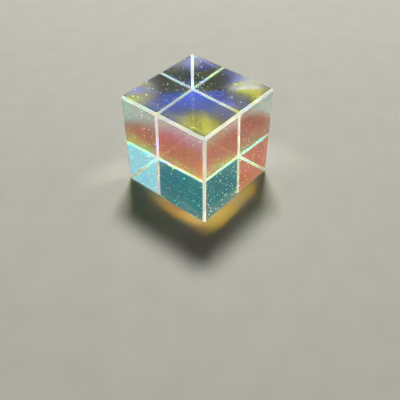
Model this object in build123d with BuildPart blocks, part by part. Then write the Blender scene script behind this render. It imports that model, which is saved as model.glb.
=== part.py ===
"""Cross dichroic beamsplitter cube: a solid glass cube cemented from four right-angle prisms.

Each prism turns its widest face outwards, as one side of the cube, and its two narrower faces inwards, against
its neighbours. The inner faces lie on the cube's two upright diagonal planes, which cross along its axis. The
red plane carries a coating that reflects red and passes the rest, the blue plane one that reflects blue. The
prisms are cemented in pairs first, front to left and back to right, each pair over half of the blue plane. The
red coating is then laid over the whole inner face of one pair, and the pairs are cemented along it. Last, all
twelve edges of the cube are ground to narrow bevels, straight through glass, coatings and cement.

Millimetres. The origin is the centre of the bottom face, +Z points up along the line where the planes cross, and
X and Y are square to the side faces, with the front at -Y.
"""

import os

from build123d import *

# Driving dimensions
CUBE_WIDTH = 20.0  # across opposite sides of the cube
CUBE_HEIGHT = 20.0  # from the bottom face to the top face
EDGE_BEVEL = 0.42  # leg of the 45 degree bevel along every edge of the cube
COATING_THICKNESS = 0.006  # dielectric layers, as they lie on the glass
CEMENT_THICKNESS = 0.014  # bond line between a coated face and the bare face opposite

# Plan layout. Pieces are cut out of the ground cube by limits on two plan coordinates: u runs along the blue
# plane, towards the back right edge of the cube, and v runs along the red plane, towards the back left edge. A
# layer of coating and cement fills the gap about each plane, half of it on either side.
BLUE_PLANE_DIRECTION = 45.0  # degrees from +X to +u
GAP = COATING_THICKNESS + CEMENT_THICKNESS
OUTSIDE = CUBE_WIDTH  # farther from the axis than any edge of the cube
FRONT_OF_GAP = (-OUTSIDE, -GAP / 2)
COATING_LIMITS = (-GAP / 2, -GAP / 2 + COATING_THICKNESS)
CEMENT_LIMITS = (GAP / 2 - CEMENT_THICKNESS, GAP / 2)
BEHIND_GAP = (GAP / 2, OUTSIDE)
WHOLE_PLANE = (-OUTSIDE, OUTSIDE)

# What each piece keeps of the cube: its limits on u, then on v
PIECES = {
    "front_prism": (FRONT_OF_GAP, FRONT_OF_GAP),
    "left_prism": (FRONT_OF_GAP, BEHIND_GAP),
    "right_prism": (BEHIND_GAP, FRONT_OF_GAP),
    "back_prism": (BEHIND_GAP, BEHIND_GAP),
    "front_blue_coating": (FRONT_OF_GAP, COATING_LIMITS),
    "front_blue_cement": (FRONT_OF_GAP, CEMENT_LIMITS),
    "back_blue_coating": (BEHIND_GAP, COATING_LIMITS),
    "back_blue_cement": (BEHIND_GAP, CEMENT_LIMITS),
    "red_coating": (COATING_LIMITS, WHOLE_PLANE),
    "red_cement": (CEMENT_LIMITS, WHOLE_PLANE),
}

# The cube as ground and polished, with its twelve bevels
with BuildPart() as ground_cube:
    with BuildSketch():
        Rectangle(CUBE_WIDTH, CUBE_WIDTH)
    extrude(amount=CUBE_HEIGHT)
    chamfer(edges(), length=EDGE_BEVEL)

os.makedirs("parts", exist_ok=True)

for name, (u_limits, v_limits) in PIECES.items():
    with BuildPart() as piece:
        add(ground_cube.part)
        with BuildSketch(Plane.XY.rotated((0, 0, BLUE_PLANE_DIRECTION))):
            with Locations((sum(u_limits) / 2, sum(v_limits) / 2)):
                Rectangle(u_limits[1] - u_limits[0], v_limits[1] - v_limits[0])
        extrude(amount=CUBE_HEIGHT, mode=Mode.INTERSECT)
    piece.part.label = name
    export_step(piece.part, "parts/" + name + ".step")
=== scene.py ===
"""The looks of the cross dichroic beamsplitter cube, built around its CAD frame. Metres throughout.

The four prisms and the three cement films are the CAD solids with new materials. Each coating is a
thin sheet inside the film that it stands for, so that a ray meets the coated surface once. The
cube's axis is Z, and its two coated planes stand on the diagonals of the plan: the blue-reflecting
one along U, the red one along V.
"""

import math

import bpy
import numpy as np
from mathutils import Matrix, Vector


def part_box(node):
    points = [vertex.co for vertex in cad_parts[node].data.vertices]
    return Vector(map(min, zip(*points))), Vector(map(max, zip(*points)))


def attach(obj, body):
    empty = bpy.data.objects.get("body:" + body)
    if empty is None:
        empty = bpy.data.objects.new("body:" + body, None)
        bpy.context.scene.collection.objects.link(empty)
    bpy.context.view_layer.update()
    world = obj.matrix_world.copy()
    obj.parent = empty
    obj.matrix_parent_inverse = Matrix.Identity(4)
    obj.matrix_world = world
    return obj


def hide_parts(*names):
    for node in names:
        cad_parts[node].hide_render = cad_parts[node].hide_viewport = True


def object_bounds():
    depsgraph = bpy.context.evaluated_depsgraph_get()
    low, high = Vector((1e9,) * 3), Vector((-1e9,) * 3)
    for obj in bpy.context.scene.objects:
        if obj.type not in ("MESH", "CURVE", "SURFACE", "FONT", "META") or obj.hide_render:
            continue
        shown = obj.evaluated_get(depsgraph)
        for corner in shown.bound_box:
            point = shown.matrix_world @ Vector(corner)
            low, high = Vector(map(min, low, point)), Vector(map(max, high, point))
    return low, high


MM = 0.001

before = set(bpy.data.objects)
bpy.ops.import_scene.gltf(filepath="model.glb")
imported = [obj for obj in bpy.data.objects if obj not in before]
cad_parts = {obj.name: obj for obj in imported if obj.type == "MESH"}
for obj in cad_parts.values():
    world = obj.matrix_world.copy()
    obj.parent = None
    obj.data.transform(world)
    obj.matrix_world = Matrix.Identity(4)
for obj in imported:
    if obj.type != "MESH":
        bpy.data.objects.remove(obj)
cad_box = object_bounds()

# ---- Sizes, from the frame ----

WIDTH = cad_box[1][0] - cad_box[0][0]
HEIGHT = cad_box[1][2] - cad_box[0][2]
HALF = WIDTH / 2
GAP = 0.02 * MM  # between two prisms: one coating and one film of cement
COATING = 0.006 * MM
ON_FACE = 0.002 * MM  # a point this close to a polished face's plane lies on that face
BESIDE_FILM = 0.001 * MM  # and one this close to the film between two prisms lies on a cemented face
FLOOR_CLEARANCE = 0.02 * MM  # how far the floor stays below the cube's foot
SKIN = 0.0015 * MM  # how far a coating's sheet stays inside the film that it stands for
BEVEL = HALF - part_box("front_prism")[1][0] - GAP * math.sqrt(0.5)
CORNER = (HALF - BEVEL / 2) * math.sqrt(2)  # from the axis to the flat on an upright edge

DIAGONAL_U = (math.sqrt(0.5), math.sqrt(0.5), 0.0)  # towards the right edge
DIAGONAL_V = (-math.sqrt(0.5), math.sqrt(0.5), 0.0)  # towards the back edge

# ---- Optics ----

GLASS_IOR = 1.53
LAYER_IOR = 2.3  # mean of a coating's layers: it sets how fast the band edge moves with the angle
BLUE_PLANE_EDGE = 540.0  # nanometres, at 45 degrees: the blue plane passes what is longer
RED_PLANE_EDGE = 534.0  # the red plane passes what is shorter
EDGE_SOFTNESS = 12.0
LEAK = 0.05  # share of the blocked light that leaks through a coating
BLUE_PLANE_LOSS = (0.0, 0.45)  # share of the blocked light that is lost, square on and slanting
RED_PLANE_LOSS = (0.20, 0.0)
LOSS_ANGLES = np.radians([40, 60])  # where the loss leaves its first value and reaches its second
UNEVEN_PATCH = 9 * MM  # how wide the patches are in which the layers run thicker or thinner
UNEVENNESS = 0.006  # how far the slant that the layers answer to wanders
CHANNELS = np.array([605.0, 545.0, 460.0])  # the wavelengths that stand for red, green and blue
COATING_ANGLES = np.radians([0, 14, 20, 25, 30, 35, 40, 45, 50, 55, 60, 65, 70, 76, 82, 90])

# ---- Dust and ground glass ----

FINE_SPACING, FINE_RADIUS = 0.50 * MM, 0.13 * MM  # the radius is that of the largest grains
COARSE_SPACING, COARSE_RADIUS = 1.3 * MM, 0.17 * MM
STRAY_DUST = 0.03  # share of the lattice's cells that hold a grain anywhere
FINE_GATHERED, COARSE_GATHERED = 0.36, 0.42  # and how much more of them do where dust gathers
GATHERED_BELOW = (0.55 * HEIGHT, 0.45 * HEIGHT)  # it gathers from the first height down to the second
GATHERED_WITHIN = (0.80 * HALF, 0.60 * HALF)  # and so for the distance from the red plane
DUST_WHITE = (1, 1, 0.97, 1)
DUST_TINT = 0.4  # how much of its own chance colour a grain shows

GRIT, GRIT_DEPTH = 0.05 * MM, 0.01 * MM
GROUND_ROUGHNESS = 0.45
CHIP = 0.3 * MM
CHIP_ONSET = (0.62, 0.70)  # the noise at which a bevel is sound, and at which it is chipped
GROUND_WHITE = (0.88, 0.88, 0.87, 1)
WHITE_SHARE, CHIPPED_SHARE = 0.80, 0.45  # how much of a bevel is white, where sound and where chipped

# ---- Floor and room ----

FLOOR_DARKER, FLOOR_LIGHTER = (0.44, 0.432, 0.375), (0.46, 0.452, 0.393)
FLOOR_PATCH = 6 * MM
FLOOR_LEVEL = (0.45, 0.44, 0.385, 1.0)  # how bright the lit floor looks beside the cube
LAMPLIGHT_ENDS = (0.10, 0.25)  # between these distances that level takes over from the lamps
LAMP_DISTANCE = 0.5
ROOM_LEVEL = (0.008, 0.008, 0.008, 1)

# ---- Shader helpers ----


def new_material(name):
    """An empty node material, and its node tree."""
    material = bpy.data.materials.new(name)
    material.use_nodes = True
    material.node_tree.nodes.clear()
    return material, material.node_tree


def add_node(tree, kind, settings=None, **inputs):
    """Adds one node. Settings are its properties. Inputs are its sockets, by name with _ for a
    space or by number as in0, in1, and each is a value or another node's output socket."""
    node = tree.nodes.new(kind)
    for key, value in (settings or {}).items():
        setattr(node, key, value)
    for key, value in inputs.items():
        by_number = key[:2] == "in" and key[2:].isdigit()
        socket = node.inputs[int(key[2:]) if by_number else key.replace("_", " ")]
        if isinstance(value, bpy.types.NodeSocket):
            tree.links.new(value, socket)
        else:
            socket.default_value = value
    return node


def maths(tree, operation, *values):
    """A Math node's result."""
    sockets = {f"in{i}": value for i, value in enumerate(values)}
    return add_node(tree, "ShaderNodeMath", {"operation": operation}, **sockets).outputs[0]


def along(tree, vector, direction):
    """The length of a vector along a fixed direction, without its sign."""
    node = add_node(tree, "ShaderNodeVectorMath", {"operation": "DOT_PRODUCT"}, in0=vector, in1=direction)
    return maths(tree, "ABSOLUTE", node.outputs["Value"])


def blend(tree, factor, first, second):
    """The first shader where the factor is 0, the second where it is 1."""
    return add_node(tree, "ShaderNodeMixShader", None, in0=factor, in1=first, in2=second).outputs[0]


def ramp(tree, factor, stops):
    """A colour ramp through (place, colour) stops."""
    node = add_node(tree, "ShaderNodeValToRGB", None, in0=factor)
    elements = node.color_ramp.elements
    while len(elements) < len(stops):
        elements.new(0.5)
    for element, (place, colour) in zip(elements, stops):
        element.position = place
        element.color = (*colour, 1.0)
    return node.outputs["Color"]


def slope(tree, value, start, end):
    """0 before start, 1 past end, and straight between them. The end may be the smaller of the two."""
    node = add_node(tree, "ShaderNodeMapRange", None, Value=value, From_Min=start, From_Max=end)
    return node.outputs["Result"]


def noise(tree, place, grain, detail=2.0):
    """Soft noise between 0 and 1, with features about one grain across."""
    node = add_node(tree, "ShaderNodeTexNoise", None, Vector=place, Scale=1 / grain, Detail=detail)
    return node.outputs[0]


def specks(tree, place, spacing, radius, share):
    """1 inside small round dots, and each dot's own chance colour: one dot centre in each cell of a
    jittered lattice, kept in a share of the cells, with a radius that differs from dot to dot."""
    cells = add_node(tree, "ShaderNodeTexVoronoi", None, Vector=place, Scale=1 / spacing)
    channels = add_node(tree, "ShaderNodeSeparateColor", None, in0=cells.outputs["Color"]).outputs
    reach = maths(tree, "MULTIPLY", channels[1], radius / spacing)
    inside = maths(tree, "LESS_THAN", cells.outputs["Distance"], reach)
    kept = maths(tree, "LESS_THAN", channels[0], share)
    return maths(tree, "MULTIPLY", inside, kept), cells.outputs["Color"]


def finish(tree, shader):
    """Sends the shader to the material's output."""
    add_node(tree, "ShaderNodeOutputMaterial", None, Surface=shader)


def see_through(tree):
    """Nothing at all: light crosses unchanged."""
    return add_node(tree, "ShaderNodeBsdfTransparent", None, Color=(1, 1, 1, 1)).outputs[0]


def polished(tree):
    """Clear polished glass."""
    return add_node(tree, "ShaderNodeBsdfGlass", None, Color=(0.995, 1.0, 0.997, 1), Roughness=0.0,
                    IOR=GLASS_IOR).outputs[0]


def dusty(tree, place, clear):
    """Clear glass with dust on it: fine grains and a few larger ones, pale with a tint of their
    own. They gather in the lower half, beside the front and back edges."""
    height = add_node(tree, "ShaderNodeSeparateXYZ", None, in0=place).outputs[2]
    low_down = slope(tree, height, *GATHERED_BELOW)
    beside_edge = slope(tree, along(tree, place, DIAGONAL_U), *GATHERED_WITHIN)
    gathered = maths(tree, "MULTIPLY", low_down, beside_edge)
    fine_share = maths(tree, "MULTIPLY_ADD", gathered, FINE_GATHERED, STRAY_DUST)
    fine, tint = specks(tree, place, FINE_SPACING, FINE_RADIUS, fine_share)
    coarse_share = maths(tree, "MULTIPLY_ADD", gathered, COARSE_GATHERED, STRAY_DUST)
    coarse, _ = specks(tree, place, COARSE_SPACING, COARSE_RADIUS, coarse_share)
    grains = maths(tree, "MAXIMUM", fine, coarse)
    tinted = add_node(tree, "ShaderNodeMix", {"data_type": "RGBA"}, in0=DUST_TINT, in6=DUST_WHITE,
                      in7=tint)
    pale = tinted.outputs[2]
    lit = add_node(tree, "ShaderNodeBsdfDiffuse", None, Color=pale).outputs[0]
    glowing = add_node(tree, "ShaderNodeBsdfTranslucent", None, Color=pale).outputs[0]
    both = add_node(tree, "ShaderNodeAddShader", None, in0=lit, in1=glowing).outputs[0]
    return blend(tree, grains, clear, both)


def ground(tree, place):
    """A ground bevel: white, with a fine grain and a few chips that show the clear glass below."""
    grit = noise(tree, place, GRIT, 3.0)
    bump = add_node(tree, "ShaderNodeBump", None, Strength=0.35, Distance=GRIT_DEPTH,
                    Height=grit).outputs[0]
    bend = add_node(tree, "ShaderNodeBsdfGlass", None, Color=(1, 1, 1, 1), Roughness=GROUND_ROUGHNESS,
                    IOR=GLASS_IOR, Normal=bump).outputs[0]
    lit = add_node(tree, "ShaderNodeBsdfDiffuse", None, Color=GROUND_WHITE, Normal=bump).outputs[0]
    glowing = add_node(tree, "ShaderNodeBsdfTranslucent", None, Color=GROUND_WHITE,
                       Normal=bump).outputs[0]
    chipped = slope(tree, noise(tree, place, CHIP), *CHIP_ONSET)
    share = maths(tree, "MULTIPLY_ADD", chipped, CHIPPED_SHARE - WHITE_SHARE, WHITE_SHARE)
    white_both_ways = add_node(tree, "ShaderNodeAddShader", None, in0=lit, in1=glowing).outputs[0]
    return blend(tree, share, bend, white_both_ways)


# ---- Materials ----


def cube_faces(tree):
    """The place on the cube, and 1 on its six polished faces: the largest of |x|, |y| and the
    height from the middle is then the cube's half width, and on a bevel it is less."""
    place = add_node(tree, "ShaderNodeTexCoord").outputs["Object"]
    axes = add_node(tree, "ShaderNodeSeparateXYZ", None, in0=place).outputs
    across = maths(tree, "MAXIMUM", maths(tree, "ABSOLUTE", axes[0]), maths(tree, "ABSOLUTE", axes[1]))
    upright = maths(tree, "ABSOLUTE", maths(tree, "SUBTRACT", axes[2], HEIGHT / 2))
    farthest = maths(tree, "MAXIMUM", across, upright)
    return place, maths(tree, "GREATER_THAN", farthest, HALF - ON_FACE)


def optical_glass():
    """A prism: polished outer faces with a little dust, white ground bevels, and cemented faces
    that show nothing of their own. A point is on a cemented face where it lies beside a diagonal
    plane."""
    material, tree = new_material("optical_glass")
    place, face = cube_faces(tree)
    from_planes = maths(tree, "MINIMUM", along(tree, place, DIAGONAL_U), along(tree, place, DIAGONAL_V))
    cemented = maths(tree, "LESS_THAN", from_planes, GAP / 2 + BESIDE_FILM)
    outer = blend(tree, face, ground(tree, place), dusty(tree, place, polished(tree)))
    finish(tree, blend(tree, cemented, outer, see_through(tree)))
    return material


def optical_cement(name, across):
    """A cement film. Its wide faces, whose normal lies across the film, show nothing, and its
    narrow rims bend light as the glass beside them does."""
    material, tree = new_material(name)
    place, face = cube_faces(tree)
    normal = add_node(tree, "ShaderNodeNewGeometry").outputs["True Normal"]
    wide = maths(tree, "GREATER_THAN", along(tree, normal, across), 0.9)
    rim = blend(tree, face, ground(tree, place), polished(tree))
    finish(tree, blend(tree, wide, rim, see_through(tree)))
    return material


def split_light(edge_at_45, passes_longer, loss):
    """What a coating passes and what it reflects, in red, green and blue, at each of its angles.

    The band edge moves to shorter waves as light slants: it is in proportion to the cosine of the
    angle inside the layers. Across the edge the share that passes follows an S curve, and near
    grazing it falls to nothing. The rest is reflected, less a small leak and the coating's loss.
    """
    inside = np.sqrt(1 - (GLASS_IOR * np.sin(COATING_ANGLES) / LAYER_IOR) ** 2)
    at_45 = math.sqrt(1 - (GLASS_IOR * math.sin(math.radians(45)) / LAYER_IOR) ** 2)
    edges = edge_at_45 * inside / at_45
    side = 1 if passes_longer else -1
    open_band = 1 / (1 + np.exp(-side * (CHANNELS[None, :] - edges[:, None]) / EDGE_SOFTNESS))
    open_band = open_band * (1 - (1 - np.cos(COATING_ANGLES)) ** 5)[:, None]
    lost = np.interp(COATING_ANGLES, LOSS_ANGLES, loss)[:, None]
    return open_band + LEAK * (1 - open_band), (1 - LEAK) * (1 - lost) * (1 - open_band)


def dichroic_coating(name, passed, reflected):
    """A coating that passes one part of the light and reflects the rest. Both colours follow the
    angle between the ray and the coating, from square on (0) to grazing (1). The layers are not
    quite even, so the angle that they answer to wanders a little across the plane."""
    material, tree = new_material(name)
    place = add_node(tree, "ShaderNodeTexCoord").outputs["Object"]
    slant = add_node(tree, "ShaderNodeLayerWeight", None, Blend=0.5).outputs["Facing"]
    patches = noise(tree, place, UNEVEN_PATCH, 1.0)
    uneven = maths(tree, "MULTIPLY_ADD", patches, 2 * UNEVENNESS, -UNEVENNESS)
    slant = maths(tree, "ADD", slant, uneven)
    places = 1 - np.cos(COATING_ANGLES)
    through = add_node(tree, "ShaderNodeBsdfTransparent", None,
                       Color=ramp(tree, slant, list(zip(places, passed)))).outputs[0]
    back = add_node(tree, "ShaderNodeBsdfGlossy", None, Roughness=0.0,
                    Color=ramp(tree, slant, list(zip(places, reflected)))).outputs[0]
    both = add_node(tree, "ShaderNodeAddShader", None, in0=through, in1=back).outputs[0]
    finish(tree, both)
    return material


def coating_back():
    """The far face and the rims of a coating's sheet, which light crosses unchanged."""
    material, tree = new_material("coating_back")
    finish(tree, see_through(tree))
    return material


def seen(tree):
    """1 for a ray that comes from the camera, straight or by way of gloss and glass, and 0 for
    stray light."""
    path = add_node(tree, "ShaderNodeLightPath").outputs
    mirrored = maths(tree, "MAXIMUM", path["Is Glossy Ray"], path["Is Transmission Ray"])
    return maths(tree, "MAXIMUM", path["Is Camera Ray"], mirrored)


def pale_floor():
    """A matt pale floor, a little uneven in tone. Far from the cube, where the lamps don't reach,
    it is seen at the same pale level, so that floor and backdrop look like one sheet."""
    material, tree = new_material("pale_floor")
    place = add_node(tree, "ShaderNodeTexCoord").outputs["Object"]
    patches = noise(tree, place, FLOOR_PATCH, 4.0)
    tone = ramp(tree, patches, [(0.35, FLOOR_DARKER), (0.65, FLOOR_LIGHTER)])
    lit = add_node(tree, "ShaderNodeBsdfDiffuse", None, Color=tone).outputs[0]
    level = add_node(tree, "ShaderNodeEmission", None, Color=FLOOR_LEVEL, Strength=1.0).outputs[0]
    distance = add_node(tree, "ShaderNodeVectorMath", {"operation": "LENGTH"}, in0=place).outputs["Value"]
    far = slope(tree, distance, *LAMPLIGHT_ENDS)
    finish(tree, blend(tree, maths(tree, "MULTIPLY", far, seen(tree)), lit, level))
    material.cycles.emission_sampling = "NONE"
    return material


# ---- Pieces ----


def add_piece(name, points, faces, materials, slots=None):
    """Puts arrays of points and faces into a new object at the origin."""
    mesh = bpy.data.meshes.new(name)
    mesh.from_pydata(points, [], faces)
    for material in materials:
        mesh.materials.append(material)
    if slots is not None:
        mesh.polygons.foreach_set("material_index", slots)
    mesh.update()
    piece = bpy.data.objects.new(name, mesh)
    bpy.context.scene.collection.objects.link(piece)
    return piece


def coating_sheet(name, run, normal, start, end, coated, back):
    """A coating as a flat closed sheet, on a grid of height by run.

    A row of the grid runs along the diagonal from start to end, and the rows stand at the heights
    where the outline turns. An end of None is the cube's edge: there the run reaches the flat on
    the upright edge, less what the bevels of the top and bottom faces take off near them. The grid
    is laid twice, a sheet's thickness apart along the normal: its near layer is the coated face,
    and the far layer and the rims are the back.
    """
    heights = np.array([0.0, BEVEL / 2, HEIGHT - BEVEL / 2, HEIGHT])
    lost = np.array([BEVEL / 2, 0.0, 0.0, BEVEL / 2]) * math.sqrt(2)
    first = np.full(4, start) if start is not None else -CORNER + lost
    last = np.full(4, end) if end is not None else CORNER - lost
    depths = np.array([-GAP / 2 + SKIN, -GAP / 2 + COATING - SKIN])
    layer, row, column = np.meshgrid([0, 1], np.arange(4), [0, 1], indexing="ij")
    reach = np.where(column == 0, first[row], last[row])
    points = (reach[..., None] * np.array(run) + depths[layer][..., None] * np.array(normal)
              + heights[row][..., None] * np.array((0.0, 0.0, 1.0)))
    number = np.arange(16).reshape(2, 4, 2)
    low, high = number[:, :-1], number[:, 1:]
    near = np.stack([low[0, :, 0], high[0, :, 0], high[0, :, 1], low[0, :, 1]], -1)
    far = np.stack([low[1, :, 0], low[1, :, 1], high[1, :, 1], high[1, :, 0]], -1)
    start_rim = np.stack([low[0, :, 0], low[1, :, 0], high[1, :, 0], high[0, :, 0]], -1)
    end_rim = np.stack([low[0, :, 1], high[0, :, 1], high[1, :, 1], low[1, :, 1]], -1)
    foot = [[number[0, 0, 0], number[0, 0, 1], number[1, 0, 1], number[1, 0, 0]]]
    head = [[number[0, 3, 0], number[1, 3, 0], number[1, 3, 1], number[0, 3, 1]]]
    faces = np.concatenate([near, far, start_rim, end_rim, foot, head])
    if np.dot(np.cross(run, (0, 0, 1)), normal) < 0:  # the faces would point inwards
        faces = faces[:, ::-1]
    slots = (np.arange(len(faces)) >= len(near)).astype(np.int32)
    return add_piece(name, points.reshape(-1, 3).tolist(), faces.tolist(), [coated, back], slots)


def floor_and_backdrop(material):
    """One surface swept round the axis: flat below the cube, and curving up past the floor's radius.

    The profile's height is the rise times the square of the way from the floor's radius to the rim.
    Rings are spaced evenly in radius, and the flat part inside the first is one many-sided face.
    """
    flat, rim, rise, around = 0.75, 1.25, 0.50, 96
    steps = np.linspace(0.0, 1.0, 25)
    radii = flat + (rim - flat) * steps
    heights = rise * steps ** 2 - FLOOR_CLEARANCE
    turn = np.arange(around) * 2 * math.pi / around
    rings = np.stack([radii[:, None] * np.cos(turn), radii[:, None] * np.sin(turn),
                      np.repeat(heights[:, None], around, 1)], -1)
    number = np.arange(rings.shape[0] * around).reshape(-1, around)
    after = np.roll(number, -1, 1)
    walls = np.stack([number[:-1], number[1:], after[1:], after[:-1]], -1).reshape(-1, 4)
    faces = walls.tolist() + [number[0].tolist()]
    stage = add_piece("floor_and_backdrop", rings.reshape(-1, 3).tolist(), faces, [material])


# ---- The cube ----

glass = optical_glass()
blue_plane_cement = optical_cement("optical_cement", DIAGONAL_V)
red_plane_cement = optical_cement("optical_cement_red_plane", DIAGONAL_U)
for name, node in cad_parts.items():
    node.data.materials.clear()
    film = red_plane_cement if name == "red_cement" else blue_plane_cement
    node.data.materials.append(film if "cement" in name else glass)

coatings = {
    "blue_reflecting_coating": dichroic_coating(
        "blue_reflecting_coating", *split_light(BLUE_PLANE_EDGE, True, BLUE_PLANE_LOSS)),
    "red_reflecting_coating": dichroic_coating(
        "red_reflecting_coating", *split_light(RED_PLANE_EDGE, False, RED_PLANE_LOSS)),
}
sheet_back = coating_back()

# Each coating's finish, the way that it runs, its normal, and where it starts and ends along its
# diagonal.
SHEETS = {
    "front_blue_coating": ("blue_reflecting_coating", DIAGONAL_U, DIAGONAL_V, None, -GAP / 2),
    "back_blue_coating": ("blue_reflecting_coating", DIAGONAL_U, DIAGONAL_V, GAP / 2, None),
    "red_coating": ("red_reflecting_coating", DIAGONAL_V, DIAGONAL_U, None, None),
}
for node, (slot, run, normal, start, end) in SHEETS.items():
    sheet = coating_sheet(node + "_sheet", run, normal, start, end, coatings[slot], sheet_back)
    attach(sheet, "root")
    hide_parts(node)

# ---- Stage ----

floor_and_backdrop(pale_floor())


def softbox(name, azimuth, elevation, width, height, radiance, mirrored=True):
    """A rectangular softbox that faces the cube. Azimuth is counterclockwise from +X, elevation
    above the floor. Its power is pi times its area times its radiance. One that isn't mirrored
    doesn't show in gloss or glass."""
    az, el = math.radians(azimuth), math.radians(elevation)
    towards = Vector((math.cos(az) * math.cos(el), math.sin(az) * math.cos(el), math.sin(el)))
    data = bpy.data.lights.new(name, "AREA")
    data.shape = "RECTANGLE"
    data.size, data.size_y = width, height
    data.energy = math.pi * width * height * radiance
    lamp = bpy.data.objects.new(name, data)
    lamp.visible_camera = False
    lamp.visible_glossy = lamp.visible_transmission = mirrored
    bpy.context.scene.collection.objects.link(lamp)
    lamp.matrix_world = (Matrix.Translation(towards * LAMP_DISTANCE + Vector((0, 0, HEIGHT / 2)))
                         @ (-towards).to_track_quat("-Z", "Y").to_matrix().to_4x4())


# Azimuth and elevation in degrees, width and height in metres, and radiance. The key stands behind
# the cube, and the other boxes are what the coated planes mirror towards the front.
softbox("key_box", 128.5, 61, 0.12, 0.09, 84)
softbox("right_box", 45, 44, 0.28, 0.20, 0.78)
softbox("left_box", 222, 38, 0.22, 0.12, 0.05)
softbox("left_narrow_box", 233, 38, 0.12, 0.12, 0.29)
softbox("front_box", -41, 44, 0.26, 0.15, 0.21)

# Three low strips whiten the bevels.
softbox("left_strip", 225, 3, 0.45, 0.04, 5.0, mirrored=False)
softbox("front_strip", -45, 3, 0.45, 0.04, 5.0, mirrored=False)
softbox("right_strip", 45, 3, 0.45, 0.04, 5.0, mirrored=False)

world = bpy.data.worlds.new("room")
bpy.context.scene.world = world
world.use_nodes = True
world.node_tree.nodes["Background"].inputs["Color"].default_value = ROOM_LEVEL

scene = bpy.context.scene
scene.view_settings.view_transform = "Standard"
scene.cycles.max_bounces = 32
scene.cycles.glossy_bounces = 24
scene.cycles.transmission_bounces = 24
scene.cycles.transparent_max_bounces = 64
scene.cycles.blur_glossy = 0.0  # light that the cube throws on the floor keeps its edges
scene.cycles.sample_clamp_indirect = 0.0
scene.cycles.min_light_bounces = 12  # light reaches the floor under the cube only after many turns
scene.cycles.min_transparent_bounces = 12
scene.cycles.light_sampling_threshold = 0.0
scene.cycles.use_guiding = True  # helps those paths to find the lamps
scene.cycles.use_denoising = True

# ---- Camera ----

CAMERA_PLACE = Vector((55.20, -64.27, 74.96)) * MM
CAMERA_AIM = Vector((5.17, -5.59, 0.0)) * MM
CAMERA_ROLL = math.radians(-0.29)

camera_data = bpy.data.cameras.new("camera")
camera_data.lens = 49.13
camera_data.sensor_width = 36.0
camera_data.clip_start = 1 * MM
camera = bpy.data.objects.new("camera", camera_data)
scene.collection.objects.link(camera)
camera.matrix_world = (Matrix.Translation(CAMERA_PLACE)
                       @ (CAMERA_AIM - CAMERA_PLACE).to_track_quat("-Z", "Y").to_matrix().to_4x4()
                       @ Matrix.Rotation(CAMERA_ROLL, 4, "Z"))
scene.camera = camera
